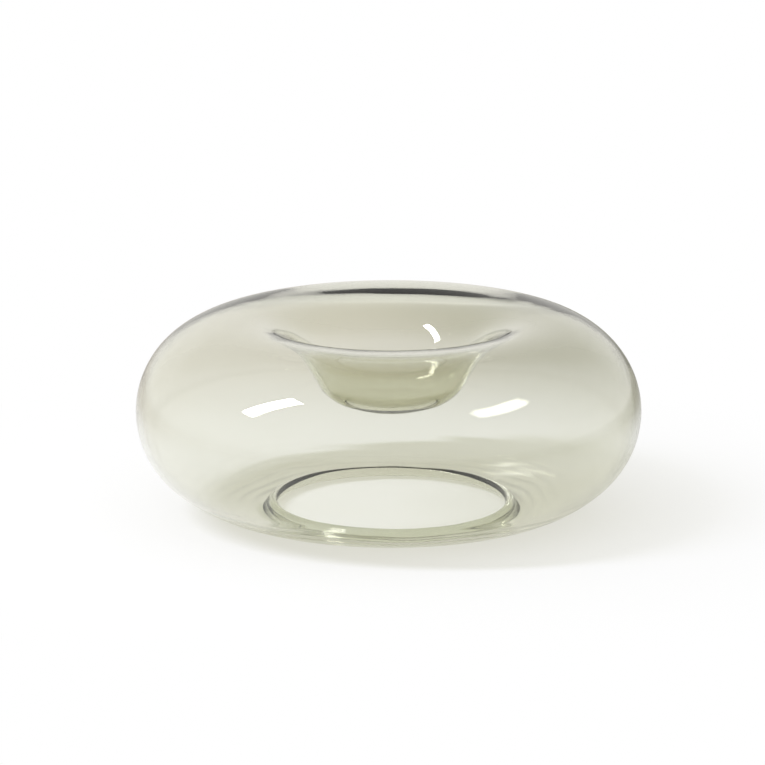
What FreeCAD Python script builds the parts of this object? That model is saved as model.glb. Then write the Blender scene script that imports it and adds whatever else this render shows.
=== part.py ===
import FreeCAD, Part
import math
import os
import Sketcher
from FreeCAD import Vector

# A ring-shaped vessel of blown glass. Its top rolls over a soft crest and sinks into a cup for one
# candle, and the ring stands on a narrow flat round a wide opening with a fire-polished lip.
# +Z is up, and the origin is the middle of the base, on the table. Each section is drawn in the XZ
# plane as (distance from the axis, height) and turned once about Z. Lengths are millimetres.

SIZES = {
    "body_radius": 100.0,  # outside, at the equator
    "overall_height": 78.3,  # table to crest
    "equator_height": 40.7,  # table to the widest line
    "crest_radius": 61.0,  # axis to the highest line of the crest
    "contact_radius": 52.0,  # outer edge of the flat that stands on the table
    "contact_width": 1.2,  # width of that flat
    "lip_width": 6.75,  # from the edge of the flat in to the clear opening
    "lip_roll": 4.0,  # thickness of the round edge of the opening
    "lip_lift": 0.9,  # table to the underside of that edge
    "cup_depth": 35.6,  # crest to the lowest point inside the cup
    "cup_slope_drop": 25.1,  # crest to the lower end of the cup's straight slope
    "cup_slope_radius": 27.2,  # axis to the lower end of the slope
    "cup_slope_run": 10.3,  # length of the slope
    "cup_slope_angle": 64.0,  # degrees from level
    "crest_wall": 3.0,  # glass gathered at the crest
    "side_wall": 2.4,  # glass at the equator, where it was blown thinnest
    "base_wall": 1.5,  # glass where the ring meets the lip
    "cup_wall": 2.2,  # glass in the cup
}

FIRST, LAST, MIDDLE = range(1, 4)  # the points of a sketch edge: its start, end and centre
ALONG_X, ALONG_Z = Vector(1, 0, 0), Vector(0, 1, 0)  # in the plane of a section

doc = FreeCAD.newDocument("candle_bowl")
sheet = doc.addObject("Spreadsheet::Sheet", "Sizes")
for row, (name, value) in enumerate(SIZES.items(), start=1):
    sheet.set(f"A{row}", name)
    sheet.set(f"B{row}", str(value))
    sheet.setAlias(f"B{row}", name)
doc.recompute()


def size(name):
    return getattr(sheet, name)


def new_section(name):
    # a body with the label of its node, and an empty sketch in its XZ plane
    body = doc.addObject("PartDesign::Body", name)
    body.Label = name
    plane = next(o for o in body.Origin.OriginFeatures if o.Role == "XZ_Plane")
    sketch = body.newObject("Sketcher::SketchObject", f"{name}_section")
    sketch.AttachmentSupport = [(plane, "")]
    sketch.MapMode = "FlatFace"
    return body, sketch


def turn_once(body, sketch):
    turned = body.newObject("PartDesign::Revolution", f"{body.Name}_turned")
    turned.Profile = sketch
    turned.ReferenceAxis = (sketch, ["V_Axis"])
    turned.Angle = math.degrees(math.tau)
    sketch.Visibility = False
    doc.recompute()
    return body


# Every edge of an outline is kept as (its number, the point it is drawn from, the point it is
# drawn to), because a sketch stores each arc anticlockwise, whichever way the outline runs.

def line(sketch, start, end):
    return sketch.addGeometry(Part.LineSegment(start, end), False), FIRST, LAST


def guide(sketch, start, end):
    return sketch.addGeometry(Part.LineSegment(start, end), True), FIRST, LAST


def arc(sketch, centre, start, end, anticlockwise):
    circle = Part.Circle(centre, ALONG_X.cross(ALONG_Z), (start - centre).Length)
    low, high = (start, end) if anticlockwise else (end, start)
    angles = [math.atan2((p - centre).y, (p - centre).x) for p in (low, high)]
    edge = sketch.addGeometry(Part.ArcOfCircle(circle, *angles), False)
    return (edge, FIRST, LAST) if anticlockwise else (edge, LAST, FIRST)


def middle(edge):
    return edge[0], MIDDLE


def start_of(edge):
    return edge[0], edge[1]


def end_of(edge):
    return edge[0], edge[2]


def constrain(sketch, kind, *points):
    numbers = [number for point in points for number in point]
    return sketch.addConstraint(Sketcher.Constraint(kind, *numbers))


def meet(sketch, before, after):
    constrain(sketch, "Coincident", end_of(before), start_of(after))


def flow(sketch, before, after):
    constrain(sketch, "Tangent", end_of(before), start_of(after))


def hold(sketch, kind, near, far, name, formula):
    # a distance along X or Z from one point to another, kept equal to a sum of named sizes
    numbers = [*near, *far]
    index = sketch.addConstraint(Sketcher.Constraint(kind, *numbers, abs(between(sketch, kind, near, far))))
    sketch.renameConstraint(index, name)
    sketch.setExpression(f"Constraints.{name}", formula)


def between(sketch, kind, near, far):
    run = sketch.getPoint(*far) - sketch.getPoint(*near)
    return run.x if kind == "DistanceX" else run.y


def crossing(start, along, end, against):
    # where the tangent at the start of a bend meets the tangent at its end
    reach = (end - start).cross(against).z / along.cross(against).z
    return start + along * reach


def bend(sketch, start, along, end, against):
    # Two arcs that carry the outline from one tangent to another. They join at the centre of the
    # circle that fits inside the triangle of the two ends and the tangents' crossing, which makes
    # their shared tangent run parallel to the chord and leaves neither arc tighter than it must be.
    corner = crossing(start, along, end, against)
    chord = end - start
    opposite = (corner - end).Length, (corner - start).Length, chord.Length
    join = (start * opposite[0] + end * opposite[1] + corner * opposite[2]) / sum(opposite)
    anticlockwise = (corner - start).cross(end - corner).z > 0
    arcs = []
    for tip, tangent in ((start, along), (end, against)):
        across = Vector(-tangent.y, tangent.x, 0)
        centre = tip + across * ((join - tip).dot(chord) / across.dot(chord))
        ends = (start, join) if tip == start else (join, end)
        arcs.append(arc(sketch, centre, *ends, anticlockwise))
    first, second = arcs
    flow(sketch, first, second)
    chord_guide = guide(sketch, start, end)
    centres_guide = guide(sketch, sketch.getPoint(*middle(first)), sketch.getPoint(*middle(second)))
    constrain(sketch, "Coincident", start_of(chord_guide), start_of(first))
    constrain(sketch, "Coincident", end_of(chord_guide), end_of(second))
    constrain(sketch, "Coincident", start_of(centres_guide), middle(first))
    constrain(sketch, "Coincident", end_of(centres_guide), middle(second))
    sketch.addConstraint(Sketcher.Constraint("Perpendicular", chord_guide[0], centres_guide[0]))
    return first, second


def level_at(sketch, point, edge):
    # the outline runs level here, so the arc's centre is straight above or below
    constrain(sketch, "Vertical", point, middle(edge))


def upright_at(sketch, point, edge):
    # the outline stands upright here, so the arc's centre is straight beside
    constrain(sketch, "Horizontal", point, middle(edge))


origin = (-1, FIRST)


# The ring body, from the crest round the equator to the edge of the contact flat.

def outer_shell():
    body, sketch = new_section("outer_shell")
    crest = Vector(size("crest_radius"), size("overall_height"))
    equator = Vector(size("body_radius"), size("equator_height"))
    foot = Vector(size("contact_radius"), 0)
    crest_inside = crest - ALONG_Z * size("crest_wall")
    equator_inside = equator - ALONG_X * size("side_wall")
    foot_inside = foot + ALONG_Z * size("base_wall")

    shoulder = bend(sketch, crest, ALONG_X, equator, ALONG_Z)
    belly = bend(sketch, equator, ALONG_Z, foot, ALONG_X)
    foot_seam = line(sketch, foot, foot_inside)
    belly_inside = bend(sketch, foot_inside, ALONG_X, equator_inside, ALONG_Z)
    shoulder_inside = bend(sketch, equator_inside, ALONG_Z, crest_inside, ALONG_X)
    crest_seam = line(sketch, crest_inside, crest)

    meet(sketch, crest_seam, shoulder[0])
    meet(sketch, shoulder[1], belly[0])
    meet(sketch, belly[1], foot_seam)
    meet(sketch, foot_seam, belly_inside[0])
    meet(sketch, belly_inside[1], shoulder_inside[0])
    meet(sketch, shoulder_inside[1], crest_seam)
    for edge, point in (
        (shoulder[0], start_of(shoulder[0])),
        (belly[1], end_of(belly[1])),
        (belly_inside[0], start_of(belly_inside[0])),
        (shoulder_inside[1], end_of(shoulder_inside[1])),
    ):
        level_at(sketch, point, edge)
    for edge, point in (
        (shoulder[1], end_of(shoulder[1])),
        (belly[0], start_of(belly[0])),
        (belly_inside[1], end_of(belly_inside[1])),
        (shoulder_inside[0], start_of(shoulder_inside[0])),
    ):
        upright_at(sketch, point, edge)
    sketch.addConstraint(Sketcher.Constraint("Vertical", crest_seam[0]))
    sketch.addConstraint(Sketcher.Constraint("Vertical", foot_seam[0]))
    constrain(sketch, "Horizontal", end_of(shoulder[1]), start_of(shoulder_inside[0]))
    constrain(sketch, "Horizontal", origin, start_of(foot_seam))

    top, side, low = start_of(shoulder[0]), end_of(shoulder[1]), start_of(foot_seam)
    hold(sketch, "DistanceX", origin, top, "crest_radius", "Sizes.crest_radius")
    hold(sketch, "DistanceY", origin, top, "overall_height", "Sizes.overall_height")
    hold(sketch, "DistanceX", origin, side, "body_radius", "Sizes.body_radius")
    hold(sketch, "DistanceY", origin, side, "equator_height", "Sizes.equator_height")
    hold(sketch, "DistanceX", origin, low, "contact_radius", "Sizes.contact_radius")
    hold(sketch, "DistanceY", start_of(crest_seam), top, "crest_wall", "Sizes.crest_wall")
    hold(sketch, "DistanceX", start_of(shoulder_inside[0]), side, "side_wall", "Sizes.side_wall")
    hold(sketch, "DistanceY", low, end_of(foot_seam), "base_wall", "Sizes.base_wall")
    return turn_once(body, sketch)


# The cup, from the crest down its slope to the bowl. It joins the ring body all round the crest.

def candle_cup():
    body, sketch = new_section("candle_cup")
    slope = math.radians(size("cup_slope_angle"))
    uphill = Vector(math.cos(slope), math.sin(slope))
    outward = Vector(math.sin(slope), -math.cos(slope))
    crest = Vector(size("crest_radius"), size("overall_height"))
    slope_foot = Vector(size("cup_slope_radius"), size("overall_height") - size("cup_slope_drop"))
    slope_head = slope_foot + uphill * size("cup_slope_run")
    floor = Vector(0, size("overall_height") - size("cup_depth"))
    crest_under = crest - ALONG_Z * size("crest_wall")
    foot_under = slope_foot + outward * size("cup_wall")
    head_under = slope_head + outward * size("cup_wall")
    floor_under = floor - ALONG_Z * size("cup_wall")

    crest_roll = bend(sketch, crest, ALONG_X, slope_head, uphill)
    wall = line(sketch, slope_head, slope_foot)
    bowl = bend(sketch, slope_foot, uphill, floor, ALONG_X)
    axis = line(sketch, floor, floor_under)
    bowl_under = bend(sketch, floor_under, ALONG_X, foot_under, uphill)
    wall_under = line(sketch, foot_under, head_under)
    crest_roll_under = bend(sketch, head_under, uphill, crest_under, ALONG_X)
    seam = line(sketch, crest_under, crest)

    meet(sketch, seam, crest_roll[0])
    flow(sketch, crest_roll[1], wall)
    flow(sketch, wall, bowl[0])
    meet(sketch, bowl[1], axis)
    meet(sketch, axis, bowl_under[0])
    flow(sketch, bowl_under[1], wall_under)
    flow(sketch, wall_under, crest_roll_under[0])
    meet(sketch, crest_roll_under[1], seam)
    for edge, point in (
        (crest_roll[0], start_of(crest_roll[0])),
        (bowl[1], end_of(bowl[1])),
        (bowl_under[0], start_of(bowl_under[0])),
        (crest_roll_under[1], end_of(crest_roll_under[1])),
    ):
        level_at(sketch, point, edge)
    sketch.addConstraint(Sketcher.Constraint("Vertical", seam[0]))
    sketch.addConstraint(Sketcher.Constraint("Vertical", axis[0]))
    constrain(sketch, "Vertical", origin, start_of(axis))

    top, head, foot = end_of(seam), start_of(wall), end_of(wall)
    slope_up = "Sizes.cup_slope_angle * 1 deg"
    drop = "Sizes.overall_height - Sizes.cup_slope_drop"
    hold(sketch, "DistanceX", origin, top, "crest_radius", "Sizes.crest_radius")
    hold(sketch, "DistanceY", origin, top, "overall_height", "Sizes.overall_height")
    hold(sketch, "DistanceX", origin, foot, "cup_slope_radius", "Sizes.cup_slope_radius")
    hold(sketch, "DistanceY", origin, foot, "cup_slope_foot", drop)
    hold(sketch, "DistanceX", foot, head, "slope_reach", f"Sizes.cup_slope_run * cos({slope_up})")
    hold(sketch, "DistanceY", foot, head, "slope_climb", f"Sizes.cup_slope_run * sin({slope_up})")
    hold(sketch, "DistanceY", start_of(axis), top, "cup_depth", "Sizes.cup_depth")
    hold(sketch, "DistanceY", start_of(seam), top, "crest_wall", "Sizes.crest_wall")
    hold(sketch, "DistanceY", end_of(axis), start_of(axis), "floor_wall", "Sizes.cup_wall")
    for side, point, under in (("foot", foot, start_of(wall_under)), ("head", head, end_of(wall_under))):
        hold(sketch, "DistanceX", point, under, f"{side}_wall_out", f"Sizes.cup_wall * sin({slope_up})")
        hold(sketch, "DistanceY", under, point, f"{side}_wall_down", f"Sizes.cup_wall * cos({slope_up})")
    return turn_once(body, sketch)


# The lip round the base opening, with the flat that stands on the table and a full round edge.

def tangent_point(outside, centre, radius, left):
    # where a line from a point outside a circle touches it, on its left or right side
    away = centre - outside
    lean = math.asin(radius / away.Length) * (1 if left else -1)
    reach = math.sqrt(away.Length**2 - radius**2)
    heading = math.atan2(away.y, away.x) + lean
    return outside + Vector(math.cos(heading), math.sin(heading)) * reach


def base_rim():
    body, sketch = new_section("base_rim")
    roll = size("lip_roll") / 2
    flat_outside = Vector(size("contact_radius"), 0)
    flat_inside = flat_outside - ALONG_X * size("contact_width")
    seam_head = flat_outside + ALONG_Z * size("base_wall")
    opening = size("contact_radius") - size("lip_width")
    centre = Vector(opening + roll, size("lip_lift") + roll)
    under_end = tangent_point(flat_inside, centre, roll, left=True)
    over_end = tangent_point(seam_head, centre, roll, left=False)

    flat = line(sketch, flat_outside, flat_inside)
    under = line(sketch, flat_inside, under_end)
    edge = arc(sketch, centre, under_end, over_end, anticlockwise=False)
    over = line(sketch, over_end, seam_head)
    seam = line(sketch, seam_head, flat_outside)

    meet(sketch, flat, under)
    flow(sketch, under, edge)
    flow(sketch, edge, over)
    meet(sketch, over, seam)
    meet(sketch, seam, flat)
    sketch.addConstraint(Sketcher.Constraint("Vertical", seam[0]))
    constrain(sketch, "Horizontal", origin, start_of(flat))
    constrain(sketch, "Horizontal", origin, end_of(flat))

    round_centre = "Sizes.contact_radius - Sizes.lip_width + Sizes.lip_roll / 2"
    hold(sketch, "DistanceX", origin, start_of(flat), "contact_radius", "Sizes.contact_radius")
    hold(sketch, "DistanceX", end_of(flat), start_of(flat), "contact_width", "Sizes.contact_width")
    hold(sketch, "DistanceY", end_of(seam), start_of(seam), "base_wall", "Sizes.base_wall")
    hold(sketch, "DistanceX", origin, middle(edge), "round_centre", round_centre)
    hold(sketch, "DistanceY", origin, middle(edge), "round_lift", "Sizes.lip_lift + Sizes.lip_roll / 2")
    index = sketch.addConstraint(Sketcher.Constraint("Radius", edge[0], roll))
    sketch.renameConstraint(index, "lip_roll")
    sketch.setExpression("Constraints.lip_roll", "Sizes.lip_roll / 2")
    return turn_once(body, sketch)


pieces = [outer_shell(), candle_cup(), base_rim()]

# Everything is checked before any file is written.
faults = [o.Name for o in doc.Objects if {"Invalid", "Error"} & set(o.State)]
for sketch in doc.findObjects("Sketcher::SketchObject"):
    if sketch.solve() != 0 or not sketch.FullyConstrained:
        faults.append(f"{sketch.Name} isn't fully constrained")
for piece in pieces:
    if piece.Shape.isNull() or not piece.Shape.isValid() or len(piece.Shape.Solids) != 1:
        faults.append(f"{piece.Label} isn't one sound solid")
if faults:
    raise RuntimeError(", ".join(faults))

os.makedirs("parts", exist_ok=True)
for piece in pieces:
    piece.Shape.exportStep(f"parts/{piece.Label}.step")
    box = piece.Shape.optimalBoundingBox()
    lengths = " x ".join(f"{length:.2f}" for length in (box.XLength, box.YLength, box.ZLength))
    print(f"{piece.Label}: {lengths} mm, {piece.Shape.Volume:.0f} cubic mm")
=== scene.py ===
import bpy
import bmesh
import math
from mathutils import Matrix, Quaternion, Vector


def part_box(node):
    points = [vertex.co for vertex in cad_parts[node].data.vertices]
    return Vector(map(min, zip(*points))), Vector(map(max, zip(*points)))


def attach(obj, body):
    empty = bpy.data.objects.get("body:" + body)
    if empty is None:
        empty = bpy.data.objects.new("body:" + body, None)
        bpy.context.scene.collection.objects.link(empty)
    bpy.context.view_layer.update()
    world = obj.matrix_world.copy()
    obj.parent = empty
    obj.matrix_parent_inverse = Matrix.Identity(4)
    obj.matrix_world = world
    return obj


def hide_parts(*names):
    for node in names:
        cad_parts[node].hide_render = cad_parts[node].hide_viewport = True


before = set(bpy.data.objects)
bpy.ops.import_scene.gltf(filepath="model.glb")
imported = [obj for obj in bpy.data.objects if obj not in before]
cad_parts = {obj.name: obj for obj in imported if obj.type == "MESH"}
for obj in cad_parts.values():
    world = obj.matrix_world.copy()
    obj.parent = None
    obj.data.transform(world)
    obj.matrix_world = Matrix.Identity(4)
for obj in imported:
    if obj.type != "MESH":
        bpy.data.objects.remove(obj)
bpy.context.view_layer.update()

# The camera looks from the front, as the photo was taken

photo = {
    "side": 765,            # pixels
    "bowlWidth": 505.4,     # pixels, edge to edge
    "middleAcross": 388.6,  # pixel of the bowl's middle, at its widest line
    "middleDown": 409.7,
    "elevation": 13.7,      # degrees above level
    "distance": 2.8,        # metres
    "sensor": 36.0,         # mm
    "clipEnd": 50.0,        # metres
}

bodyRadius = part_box("outer_shell")[1].x
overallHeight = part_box("candle_cup")[1].z
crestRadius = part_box("candle_cup")[1].x
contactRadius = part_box("base_rim")[1].x
equatorHeight = 0.0407      # metres, as in the solids


def makeCamera():
    pixel = 2 * bodyRadius / photo["bowlWidth"]
    tilt = math.radians(photo["elevation"])
    up = Vector((0, math.sin(tilt), math.cos(tilt)))
    back = Vector((0, -math.cos(tilt), math.sin(tilt)))
    right = Vector((1, 0, 0))
    aim = Vector((0, 0, equatorHeight))
    aim += right * (photo["side"] / 2 - photo["middleAcross"]) * pixel
    aim += up * (photo["middleDown"] - photo["side"] / 2) * pixel
    data = bpy.data.cameras.new("photoCamera")
    data.sensor_width = photo["sensor"]
    data.lens = photo["sensor"] * photo["distance"] / (photo["side"] * pixel)
    data.clip_end = photo["clipEnd"]
    camera = bpy.data.objects.new("photoCamera", data)
    camera.location = aim + back * photo["distance"]
    camera.rotation_euler = (-back).to_track_quat("-Z", "Y").to_euler()
    bpy.context.scene.collection.objects.link(camera)
    bpy.context.scene.camera = camera


makeCamera()
print("camera placed")

# The bowl is one blown skin of glass: outline first, then turned about its axis

bowl = {
    "contactWidth": 0.0012,     # metres, as all lengths here
    "lipWidth": 0.00675,        # edge of the flat to the clear opening
    "lipRoll": 0.0040,          # thickness of the polished lip
    "lipLift": 0.0009,
    "cupDepth": 0.0356,
    "slopeDrop": 0.0251,        # crest down to the lower end of the cup's slope
    "slopeRadius": 0.0272,
    "slopeRun": 0.0103,
    "slopeAngle": 64.0,         # degrees
    "crestWall": 0.0020,
    "sideWall": 0.0024,
    "baseWall": 0.0011,
    "wallOut": -0.0008,         # how far beyond the flat's edge the belly's wall starts
    "cupWall": 0.0022,
    "cupOff": 0.0011,           # how far the cup and opening sit right of the ring's middle
    "offReach": (0.095, 0.062),     # radii where that starts and where it is all there
    "crestSag": 0.00112,        # how much thicker the crest is at the back than elsewhere
    "sagTowards": (0.10, 1.0),      # to the right and to the back
    "sagStart": 0.050,          # height where the hollow's ceiling starts to sag
    "sagReach": (0.64, 0.98),       # shares of the crest's radius: none, all of it
    "sagFocus": 2,              # higher keeps the sag closer to the back
    "floorRise": 0.0006,        # how much thicker the base is at the back
    "floorTop": 0.012,          # height below which it is
    "floorReach": (0.935, 0.985, 1.25),     # shares of the flat's radius: none, all of it, none
    "floorFocus": 4,
    "turnSteps": 144,           # round the axis; the steps below are along the outline
    "cupSteps": 14,
    "slopeSteps": 8,
    "sideSteps": 22,
    "flatSteps": 2,
    "lipSteps": (14, 16),
    "seamSteps": 3,
    "crease": 20.0,             # degrees; sharper turns of the outline stay crisp
    "weld": 1e-6,
}

outX = Vector((1, 0, 0))
upZ = Vector((0, 0, 1))


def sweepTo(bm, tip, centre, end, steps):
    # spins the outline's tip about the arc's centre
    before, after = tip.co - centre, end - centre
    turn = math.atan2(before.cross(after).y, before.dot(after))
    made = bmesh.ops.spin(bm, geom=[tip], cent=centre, axis=(0, 1, 0), angle=turn, steps=steps)
    return next(part for part in made["geom_last"] if isinstance(part, bmesh.types.BMVert))


def runTo(bm, tip, end, steps):
    step = (end - tip.co) / steps
    for _ in range(steps):
        made = bmesh.ops.extrude_vert_indiv(bm, verts=[tip])
        tip = made["verts"][0]
        bmesh.ops.translate(bm, verts=[tip], vec=step)
    return tip


def bendTo(bm, tip, along, end, against, steps):
    # two arcs from one tangent to the other; where they meet, the tangent is parallel to the chord
    start = tip.co.copy()
    chord = end - start
    corner = start + along * (chord.cross(against).y / along.cross(against).y)
    sides = (corner - end).length, (corner - start).length, chord.length
    join = (start * sides[0] + end * sides[1] + corner * sides[2]) / sum(sides)
    for point, tangent, stop in ((start, along, join), (end, against, end)):
        across = tangent.cross(Vector((0, 1, 0)))
        centre = point + across * ((join - point).dot(chord) / across.dot(chord))
        tip = sweepTo(bm, tip, centre, stop, steps)
    return tip


def touchPoint(outside, centre, radius, side):
    # where a line from a point touches the lip's circle
    away = centre - outside
    lean = math.asin(radius / away.length) * side
    reach = math.sqrt(away.length**2 - radius**2)
    heading = math.atan2(away.z, away.x) + lean
    return outside + Vector((math.cos(heading), 0, math.sin(heading))) * reach


def turn(bm, outline):
    bmesh.ops.spin(bm, geom=outline, cent=(0, 0, 0), axis=(0, 0, 1), angle=math.tau,
                   steps=bowl["turnSteps"], use_merge=True)


def smoothShare(value, start, end):
    share = min(1, max(0, (value - start) / (end - start)))
    return share * share * (3 - 2 * share)


def makeBowl():
    slope = math.radians(bowl["slopeAngle"])
    uphill = Vector((math.cos(slope), 0, math.sin(slope)))
    downOut = Vector((math.sin(slope), 0, -math.cos(slope)))
    crest = outX * crestRadius + upZ * overallHeight
    equator = outX * bodyRadius + upZ * equatorHeight
    foot = outX * contactRadius
    flatEnd = foot - outX * bowl["contactWidth"]
    seamHead = foot + outX * bowl["wallOut"] + upZ * bowl["baseWall"]
    slopeFoot = outX * bowl["slopeRadius"] + upZ * (overallHeight - bowl["slopeDrop"])
    slopeHead = slopeFoot + uphill * bowl["slopeRun"]
    cupFloor = upZ * (overallHeight - bowl["cupDepth"])
    roll = bowl["lipRoll"] / 2
    lipCentre = outX * (contactRadius - bowl["lipWidth"] + roll) + upZ * (bowl["lipLift"] + roll)

    # the outside: cup floor, slope, crest, shoulder, belly, flat and lip
    bm = bmesh.new()
    tip = bm.verts.new(cupFloor)
    tip = bendTo(bm, tip, outX, slopeFoot, uphill, bowl["cupSteps"])
    tip = runTo(bm, tip, slopeHead, bowl["slopeSteps"])
    tip = bendTo(bm, tip, uphill, crest, outX, bowl["cupSteps"])
    tip = bendTo(bm, tip, outX, equator, upZ, bowl["sideSteps"])
    tip = bendTo(bm, tip, upZ, foot, outX, bowl["sideSteps"])
    tip = runTo(bm, tip, flatEnd, bowl["flatSteps"])
    tip = runTo(bm, tip, touchPoint(flatEnd, lipCentre, roll, 1), bowl["flatSteps"])
    lipTurn = touchPoint(seamHead, lipCentre, roll, -1)
    tip = sweepTo(bm, tip, lipCentre, lipCentre - outX * roll, bowl["lipSteps"][0])
    tip = sweepTo(bm, tip, lipCentre, lipTurn, bowl["lipSteps"][1])
    lipEnd = tip.co.copy()
    turn(bm, bm.verts[:] + bm.edges[:])
    outside = set(bm.verts)

    # the hollow: lip, belly, shoulder, ceiling and the cup's underside
    under = downOut * bowl["cupWall"]
    tip = bm.verts.new(lipEnd)
    tip = runTo(bm, tip, seamHead, bowl["seamSteps"])
    tip = bendTo(bm, tip, outX, equator - outX * bowl["sideWall"], upZ, bowl["sideSteps"])
    tip = bendTo(bm, tip, upZ, crest - upZ * bowl["crestWall"], outX, bowl["sideSteps"])
    tip = bendTo(bm, tip, outX, slopeHead + under, uphill, bowl["cupSteps"])
    tip = runTo(bm, tip, slopeFoot + under, bowl["slopeSteps"])
    bendTo(bm, tip, uphill, cupFloor - upZ * bowl["cupWall"], outX, bowl["cupSteps"])
    outline = [vert for vert in bm.verts if vert not in outside]
    outline += [edge for edge in bm.edges if edge.is_wire]
    turn(bm, outline)

    # at the back the hollow's ceiling hangs a little lower and its floor lies a little higher
    sagMiddle = Vector(bowl["sagTowards"]).normalized()
    floorFrom, floorMiddle, floorTo = bowl["floorReach"]
    for vert in bm.verts:
        if vert in outside:
            continue
        reach = vert.co.xy.length
        facing = max(0, vert.co.xy.dot(sagMiddle)) / max(reach, bowl["weld"])
        if vert.co.z > bowl["sagStart"]:
            rise = (vert.co.z - bowl["sagStart"]) / (overallHeight - bowl["sagStart"])
            share = rise**2 * smoothShare(reach / crestRadius, *bowl["sagReach"])
            vert.co.z -= bowl["crestSag"] * share * facing**bowl["sagFocus"]
        elif vert.co.z < bowl["floorTop"]:
            share = smoothShare(reach / contactRadius, floorFrom, floorMiddle)
            share *= smoothShare(reach / contactRadius, floorTo, floorMiddle)
            vert.co.z += bowl["floorRise"] * share * facing**bowl["floorFocus"]
    # hand blown, so the cup and the opening are not quite in the middle of the ring
    for vert in bm.verts:
        vert.co.x += bowl["cupOff"] * smoothShare(vert.co.xy.length, *bowl["offReach"])

    bmesh.ops.remove_doubles(bm, verts=bm.verts[:], dist=bowl["weld"])
    bmesh.ops.recalc_face_normals(bm, faces=bm.faces[:])
    for face in bm.faces:
        face.smooth = True
    for edge in bm.edges:
        edge.smooth = edge.calc_face_angle(0) < math.radians(bowl["crease"])
    mesh = bpy.data.meshes.new("glassBowl")
    bm.to_mesh(mesh)
    bm.free()
    piece = bpy.data.objects.new("glassBowl", mesh)
    bpy.context.scene.collection.objects.link(piece)
    triangles = sum(len(face.vertices) - 2 for face in mesh.polygons)
    print("bowl turned,", triangles, "triangles")
    return piece


glassBowl = makeBowl()
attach(glassBowl, "root")
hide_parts("outer_shell", "candle_cup", "base_rim")

# Small helpers for the node trees

white = (1, 1, 1, 1)


def putIn(tree, socket, value):
    if isinstance(value, bpy.types.NodeSocket):
        tree.links.new(value, socket)
    else:
        socket.default_value = value


def addNode(tree, kind, inputs, **settings):
    # a setting can change which inputs there are, so it comes first
    node = tree.nodes.new("ShaderNode" + kind)
    for name, value in settings.items():
        setattr(node, name, value)
    for key, value in inputs.items():
        putIn(tree, node.inputs[key], value)
    return node


def mapRange(tree, value, start, end, low=0, high=1, kind="SMOOTHSTEP"):
    inputs = {"Value": value, "From Min": start, "From Max": end, "To Min": low, "To Max": high}
    return addNode(tree, "MapRange", inputs, interpolation_type=kind).outputs["Result"]


def calculate(tree, operation, *values, clamp=False):
    inputs = dict(enumerate(values))
    return addNode(tree, "Math", inputs, operation=operation, use_clamp=clamp).outputs[0]


def blend(tree, share, first, second):
    inputs = {"Factor": share, "A": first, "B": second}
    return addNode(tree, "Mix", inputs, data_type="RGBA").outputs["Result"]


def blendShaders(tree, share, first, second):
    return addNode(tree, "MixShader", {0: share, 1: first, 2: second}).outputs[0]


def lengthOf(tree, vector):
    return addNode(tree, "VectorMath", {0: vector}, operation="LENGTH").outputs["Value"]


def mapped(tree, vector, location=(0, 0, 0), scale=(1, 1, 1)):
    inputs = {"Vector": vector, "Location": location, "Scale": scale}
    return addNode(tree, "Mapping", inputs).outputs["Vector"]


def scaled(size, shares):
    return (size * share for share in shares)


def startMaterial(name):
    material = bpy.data.materials.new(name)
    material.use_nodes = True
    tree = material.node_tree
    tree.nodes.clear()
    place = addNode(tree, "TexCoord", {}).outputs["Object"]
    split = addNode(tree, "SeparateXYZ", {0: place}).outputs
    rays = addNode(tree, "LightPath", {}).outputs
    return material, tree, place, split, rays


# Pale smoke-green glass, clear right through, with the faint swirls of hand blowing

smokeGlass = {
    "refraction": 1.5,
    "tint": (0.86, 0.87, 0.76, 1),
    "density": 40.0,
    "bodyColour": (0.972, 0.975, 0.945, 1),     # what one wall lets through
    "swirl": (0.950, 0.953, 0.910, 1),
    "swirlScale": 22.0,
    "swirlDetail": 2,
    "swirlTwist": 1.2,
    "stretch": (1, 1, 2.5),     # flattens the swirls and the ripples
    "cupShadeHigh": (0.875, 0.87, 0.785, 1),       # painted shade: the cup's walls tinted deeper, for the darker things seen through the cup
    "cupShadeLow": (1.0, 1.0, 0.98, 1),              # paler towards the cup's floor
    "cupShadeFront": (0.70, 0.695, 0.56, 1),         # darkest at the front
    "cupReach": (0.85, 0.55),   # shares of the crest's radius: none of the cup's colour, all of it
    "cupHeight": (0.25, 0.35),  # shares of the height, the same
    "cupFade": (0.78, 0.96),    # shares of the height: low colour, full colour
    "front": (0.2, -0.2),       # shares of the crest's radius: the back ends, the front is reached
    "rimFront": (0.66, 0.68, 0.54, 1),          # the base's rim is tinted deeper at the front
    "rimHeight": (0.12, 0.05),  # shares of the height: none of it, all of it
    "rimReach": (1.04, 0.97),   # shares of the flat's radius, the same
    "ringScale": 62.0,          # tool marks round the base
    "ringTwist": 5,
    "ringDetail": 1,
    "ringDetailScale": 0.4,
    "ringHeight": 0.00004,      # metres
    "ringFade": (0.24, 0.05),   # shares of the height: no marks, full marks
    "rippleScale": 45.0,        # unevenness of the blown surface
    "rippleDetail": 1,
    "rippleHeight": 0.00004,    # metres
    "shadowTop": (0.955, 0.955, 0.935, 1),      # what reaches the table through the top
    "shadowBelly": (0.86, 0.855, 0.815, 1),     # and through the belly, where the glass lies aslant
    "shadowFade": (0.35, 0.65),     # shares of the height, from the belly's to the top's
}


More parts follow.
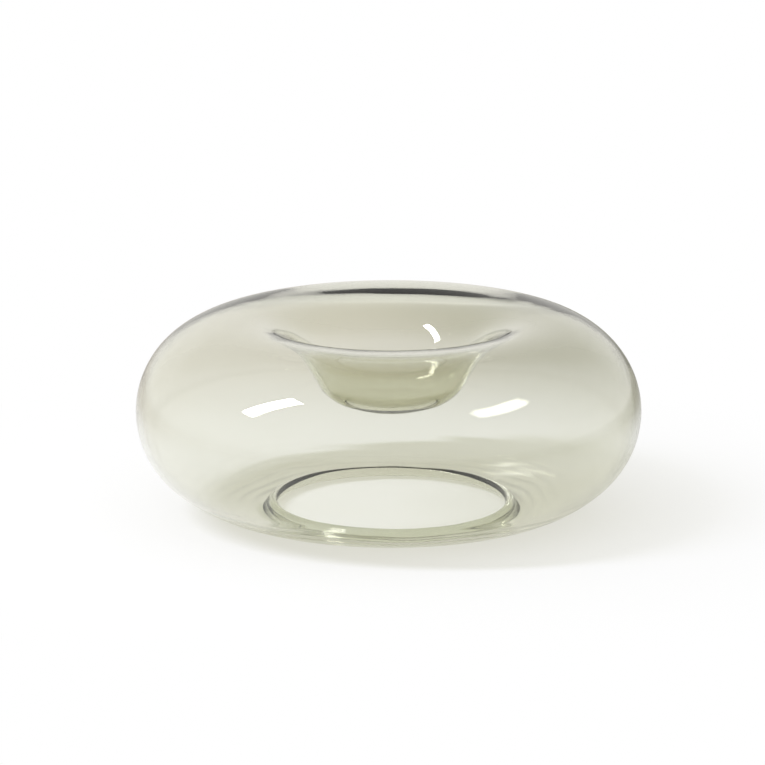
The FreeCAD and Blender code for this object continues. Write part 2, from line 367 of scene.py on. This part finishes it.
def wallColour(tree, place, split):
    # the colour of a wall: faint swirls, painted shade that tints the cup deeper, and a deeper tint
    # in the front of the base's rim
    swirls = addNode(tree, "TexNoise", {
        "Vector": mapped(tree, place, scale=smokeGlass["stretch"]),
        "Scale": smokeGlass["swirlScale"],
        "Detail": smokeGlass["swirlDetail"],
        "Distortion": smokeGlass["swirlTwist"],
    })
    body = blend(tree, swirls.outputs["Fac"], smokeGlass["bodyColour"], smokeGlass["swirl"])
    fromAxis = lengthOf(tree, mapped(tree, place, scale=(1, 1, 0)))
    front = mapRange(tree, split["Y"], *scaled(crestRadius, smokeGlass["front"]))

    # painted shade: the cup is tinted deeper, paler towards its floor and darkest at the front
    fade = mapRange(tree, split["Z"], *scaled(overallHeight, smokeGlass["cupFade"]), kind="LINEAR")
    cupBack = blend(tree, fade, smokeGlass["cupShadeLow"], smokeGlass["cupShadeHigh"])
    cup = blend(tree, front, cupBack, smokeGlass["cupShadeFront"])
    near = mapRange(tree, fromAxis, *scaled(crestRadius, smokeGlass["cupReach"]))
    levels = scaled(overallHeight, smokeGlass["cupHeight"])
    above = mapRange(tree, split["Z"], *levels, kind="LINEAR")
    colour = blend(tree, calculate(tree, "MULTIPLY", near, above), body, cup)

    low = mapRange(tree, split["Z"], *scaled(overallHeight, smokeGlass["rimHeight"]))
    inRim = mapRange(tree, fromAxis, *scaled(contactRadius, smokeGlass["rimReach"]))
    rim = calculate(tree, "MULTIPLY", calculate(tree, "MULTIPLY", low, front), inRim)
    return blend(tree, rim, colour, smokeGlass["rimFront"])


def wallNormal(tree, place, split):
    # shallow rings that the tool left low on the belly, fading upwards, and ripples all over
    rings = addNode(tree, "TexWave", {
        "Vector": place,
        "Scale": smokeGlass["ringScale"],
        "Distortion": smokeGlass["ringTwist"],
        "Detail": smokeGlass["ringDetail"],
        "Detail Scale": smokeGlass["ringDetailScale"],
    }, wave_type="RINGS", rings_direction="Z")
    low = mapRange(tree, split["Z"], *scaled(overallHeight, smokeGlass["ringFade"]))
    marks = calculate(tree, "MULTIPLY", rings.outputs["Fac"], low)
    ripples = addNode(tree, "TexNoise", {
        "Vector": mapped(tree, place, scale=smokeGlass["stretch"]),
        "Scale": smokeGlass["rippleScale"],
        "Detail": smokeGlass["rippleDetail"],
    })
    ratio = smokeGlass["rippleHeight"] / smokeGlass["ringHeight"]
    bump = addNode(tree, "Bump", {
        "Height": calculate(tree, "MULTIPLY_ADD", ripples.outputs["Fac"], ratio, marks),
        "Distance": smokeGlass["ringHeight"],
        "Strength": 1,
    })
    return bump.outputs["Normal"]


def makeSmokeGlass():
    material, tree, place, split, rays = startMaterial("smokeGlass")
    clear = addNode(tree, "BsdfPrincipled", {
        "Base Color": wallColour(tree, place, split),
        "Normal": wallNormal(tree, place, split),
        "IOR": smokeGlass["refraction"],
        "Roughness": 0,
        "Transmission Weight": 1,
    })
    # light on its way to the table goes straight through, a little tinted
    up = mapRange(tree, split["Z"], *scaled(overallHeight, smokeGlass["shadowFade"]))
    shade = blend(tree, up, smokeGlass["shadowBelly"], smokeGlass["shadowTop"])
    shadow = addNode(tree, "BsdfTransparent", {"Color": shade})
    toTable = calculate(tree, "ADD", rays["Is Shadow Ray"], rays["Is Diffuse Ray"], clamp=True)
    depth = {"Color": smokeGlass["tint"], "Density": smokeGlass["density"]}
    addNode(tree, "OutputMaterial", {
        "Surface": blendShaders(tree, toTable, clear.outputs[0], shadow.outputs[0]),
        "Volume": addNode(tree, "VolumeAbsorption", depth).outputs[0],
    })
    return material


glassBowl.data.materials.append(makeSmokeGlass())
print("glass mixed")

# A plain white table, which fades to white further out; the glass sees it with painted light and
# shade, and painted caustic streaks glow behind the bowl

table = {
    "radius": 3.0,
    "segments": 96,
    "gap": 0.0003,              # the glass stands on the table without touching it
    "colour": (0.86, 0.86, 0.86, 1),
    "lift": 0.04,               # share of the plain tone near the bowl, for the eye and the glass
    "fade": (0.10, 0.34),       # metres from the bowl where the plain tone starts and takes over
    "bareFade": 0.105,          # how much sooner that happens where no glass is in front
    "nearLamp": (0.75, 0.72, 0.655, 1),     # painted light: the tone the glass shows of the table, lighter on the softbox's side, to the left
    "offLamp": (0.46, 0.45, 0.375, 1),      # painted shade: darker to the right, away from the softbox
    "across": (-0.06, 0.12),    # metres, from the one to the other
    "farTone": (0.86, 0.847, 0.80, 1),      # where it meets the room
    "far": (0.4, 1.6),          # metres, from the near tones to the far one
    "glowMiddle": (0.049, 0.060),   # metres; middle of the painted caustic, behind on the right
    "glowSize": (0.014, 0.024),
    "glowStripes": 22.0,
    "glowTwist": 3,
    "glowDetail": 1,
    "glowThinness": 3,
    "glow": 0.45,
}


def paintedCaustic(tree, place):
    # painted caustic: bright streaks glowing on the table, where the bowl would gather the
    # softbox's light
    stripes = addNode(tree, "TexWave", {
        "Vector": place,
        "Scale": table["glowStripes"],
        "Distortion": table["glowTwist"],
        "Detail": table["glowDetail"],
    }, bands_direction="Y")
    thin = calculate(tree, "POWER", stripes.outputs["Fac"], table["glowThinness"])
    across, back = table["glowMiddle"]
    wide, deep = table["glowSize"]
    spot = mapped(tree, place, (-across / wide, -back / deep, 0), (1 / wide, 1 / deep, 0))
    inSpot = mapRange(tree, lengthOf(tree, spot), 1, 0)
    streaks = calculate(tree, "MULTIPLY", thin, inSpot)
    strength = calculate(tree, "MULTIPLY", streaks, table["glow"])
    return addNode(tree, "Emission", {"Strength": strength}).outputs[0]


def makeWhiteTable():
    material, tree, place, split, rays = startMaterial("whiteTable")
    eye = rays["Is Camera Ray"]
    fromBowl = lengthOf(tree, place)
    # painted light and shade in the tone the glass shows: lighter towards the softbox, darker away
    # from it
    across = mapRange(tree, split["X"], *table["across"])
    near = blend(tree, across, table["nearLamp"], table["offLamp"])
    tones = blend(tree, mapRange(tree, fromBowl, *table["far"]), near, table["farTone"])
    tone = addNode(tree, "Emission", {"Color": blend(tree, eye, tones, white)})
    plain = addNode(tree, "BsdfDiffuse", {"Color": table["colour"]})
    reach = calculate(tree, "MULTIPLY_ADD", eye, table["bareFade"], fromBowl)
    fade = mapRange(tree, reach, *table["fade"], table["lift"], 1)
    seen = calculate(tree, "ADD", eye, rays["Is Glossy Ray"])
    seen = calculate(tree, "ADD", seen, rays["Is Transmission Ray"], clamp=True)
    share = calculate(tree, "MULTIPLY", seen, fade)
    faded = blendShaders(tree, share, plain.outputs[0], tone.outputs[0])
    # the painted caustic streaks glow on top of the table's shading
    withPaintedCaustic = addNode(tree, "AddShader", {0: faded, 1: paintedCaustic(tree, place)})
    addNode(tree, "OutputMaterial", {"Surface": withPaintedCaustic.outputs[0]})
    return material


def makeTable():
    bm = bmesh.new()
    bmesh.ops.create_circle(
        bm, cap_ends=True, segments=table["segments"], radius=table["radius"])
    bmesh.ops.translate(bm, verts=bm.verts[:], vec=(0, 0, -table["gap"]))
    mesh = bpy.data.meshes.new("table")
    bm.to_mesh(mesh)
    bm.free()
    mesh.materials.append(makeWhiteTable())
    piece = bpy.data.objects.new("table", mesh)
    bpy.context.scene.collection.objects.link(piece)


makeTable()
print("table laid")

# The room: white round about, a little darker above and to the right

room = {
    "fill": 0.45,               # light that the room throws on the table
    "bands": (                  # sine of the height above level, brightness in the glass
        (-1.0, 0.86), (0.10, 0.86), (0.30, 0.80), (0.60, 0.66), (1.0, 0.55),
    ),
    "warmth": (1.0, 0.985, 0.93),
    "left": 1.08,               # the softbox's side of the room is the lighter one
    "right": 0.88,
    "across": (-0.6, 0.6),      # sine of the turn from the front, from left to right
}


def background(tree, colour, strength):
    return addNode(tree, "Background", {"Color": colour, "Strength": strength}).outputs[0]


def makeRoom():
    world = bpy.data.worlds.new("room")
    bpy.context.scene.world = world
    world.use_nodes = True
    tree = world.node_tree
    tree.nodes.clear()
    place = addNode(tree, "TexCoord", {}).outputs["Generated"]
    split = addNode(tree, "SeparateXYZ", {0: place}).outputs
    rays = addNode(tree, "LightPath", {}).outputs

    height = mapRange(tree, split["Z"], -1, 1, kind="LINEAR")
    ramp = addNode(tree, "ValToRGB", {"Fac": height})
    stops = ramp.color_ramp.elements
    for index, (level, grey) in enumerate(room["bands"]):
        spot = (level + 1) / 2
        stop = stops[index] if index < len(stops) else stops.new(spot)
        stop.position = spot
        stop.color = [grey * share for share in room["warmth"]] + [1]

    side = mapRange(tree, split["X"], *room["across"], room["left"], room["right"])
    inGlass = background(tree, ramp.outputs["Color"], side)
    fill = background(tree, white, room["fill"])
    bare = background(tree, white, 1)
    bent = calculate(tree, "ADD", rays["Is Glossy Ray"], rays["Is Transmission Ray"], clamp=True)
    seen = blendShaders(tree, bent, fill, inGlass)
    around = blendShaders(tree, rays["Is Camera Ray"], seen, bare)
    addNode(tree, "OutputWorld", {"Surface": around})


makeRoom()
print("room painted")

# One softbox, high on the left and a little to the front

softbox = {
    "towards": (-0.67, -0.21, 0.71),
    "distance": 3.0,    # metres, as the two sides
    "width": 1.45,
    "height": 0.40,
    "power": 91.0,
    "roll": 80.0,       # degrees about its own axis
}


def makeSoftbox():
    data = bpy.data.lights.new("softbox", "AREA")
    data.shape = "RECTANGLE"
    data.size = softbox["width"]
    data.size_y = softbox["height"]
    data.energy = softbox["power"]
    lamp = bpy.data.objects.new("softbox", data)
    towards = Vector(softbox["towards"]).normalized()
    lamp.location = towards * softbox["distance"]
    aim = (-towards).to_track_quat("-Z", "Y")
    lamp.rotation_euler = (aim @ Quaternion((0, 0, 1), math.radians(softbox["roll"]))).to_euler()
    bpy.context.scene.collection.objects.link(lamp)


makeSoftbox()
bpy.context.scene.view_settings.view_transform = "Standard"
print("softbox on")
